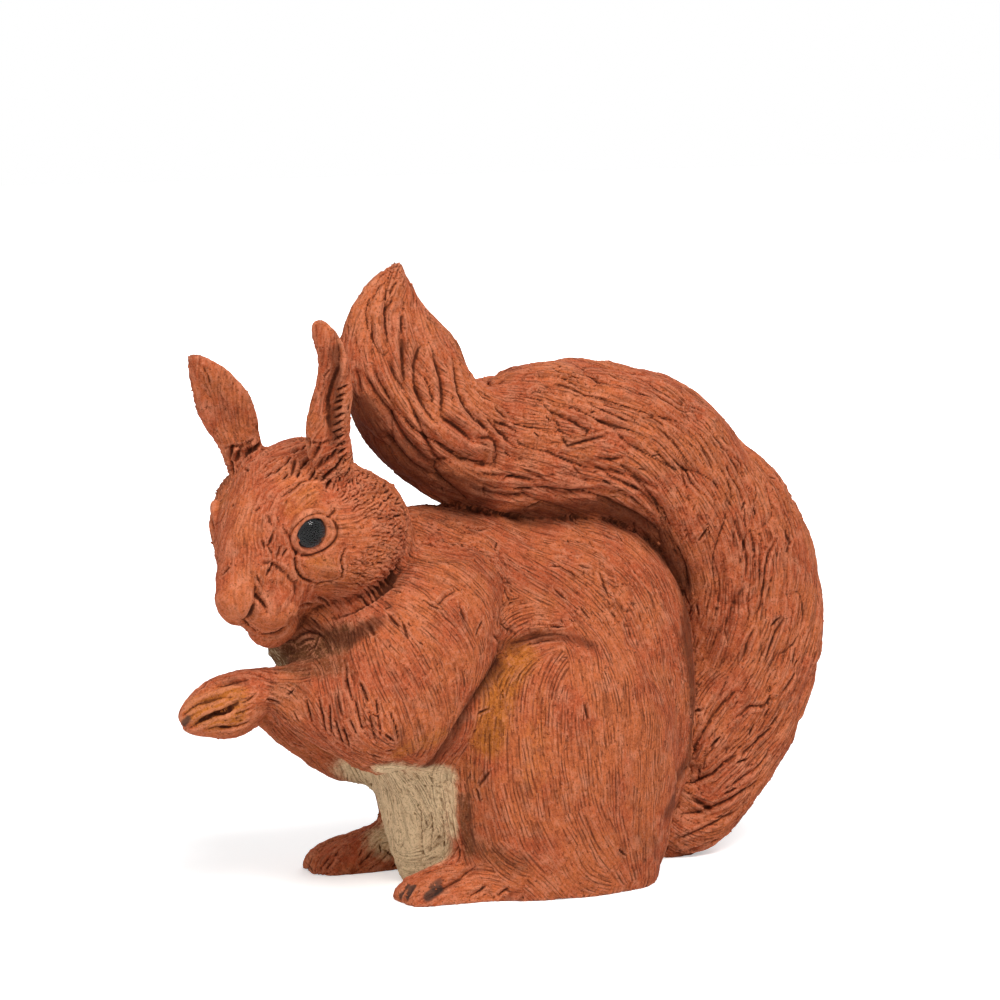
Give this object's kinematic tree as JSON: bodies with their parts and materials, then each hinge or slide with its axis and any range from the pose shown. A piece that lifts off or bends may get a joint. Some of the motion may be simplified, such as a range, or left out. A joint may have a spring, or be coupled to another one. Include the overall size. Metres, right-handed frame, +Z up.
{
  "type": "squirrel figurine",
  "caption": "Crouching squirrel, hand-built in hollow terracotta, forepaws held up, head turned to its left, bushy tail arched over its back, glass eyes.",
  "frame": {"origin": "centre of the figure's outer box, on the flat underside that it stands on", "axes": "+Z up; the body faces -Y, so the tail is towards +Y; +X is the squirrel's own left, to which the head is turned"},
  "size_m": [0.1038, 0.2416, 0.2081],
  "materials": {
    "terracotta": "matt unglazed orange-red clay, combed and scraped, with a brown wash left in the cuts",
    "pale_clay": "matt cream slip over clay, streaked with ochre",
    "bare_clay": "matt unglazed clay, scraped flat",
    "eye_glass": "clear polished glass",
    "iris_paint": "painted disc, black pupil in a slate grey iris",
    "putty": "dark matt epoxy putty"
  },
  "bodies": {
    "root": {"torso": "terracotta", "base_slab": "bare_clay", "belly_panel": "pale_clay", "left_haunch": "terracotta", "right_haunch": "terracotta", "left_hind_foot": "terracotta", "right_hind_foot": "terracotta", "left_shoulder": "terracotta", "right_shoulder": "terracotta", "left_forearm": "terracotta", "right_forearm": "terracotta", "left_forepaw": "terracotta", "right_forepaw": "terracotta", "head": "terracotta", "muzzle": "terracotta", "left_whisker_pad": "terracotta", "right_whisker_pad": "terracotta", "chin": "terracotta", "left_cheek": "terracotta", "right_cheek": "terracotta", "left_ear": "terracotta", "right_ear": "terracotta", "left_eyelid": "terracotta", "right_eyelid": "terracotta", "left_glass_eye": "eye_glass", "right_glass_eye": "eye_glass", "left_iris": "iris_paint", "right_iris": "iris_paint", "left_eye_putty": "putty", "right_eye_putty": "putty", "tail_root": "terracotta", "tail_bend": "terracotta", "tail_back": "terracotta", "tail_plume": "terracotta"}
  },
  "joints": []
}
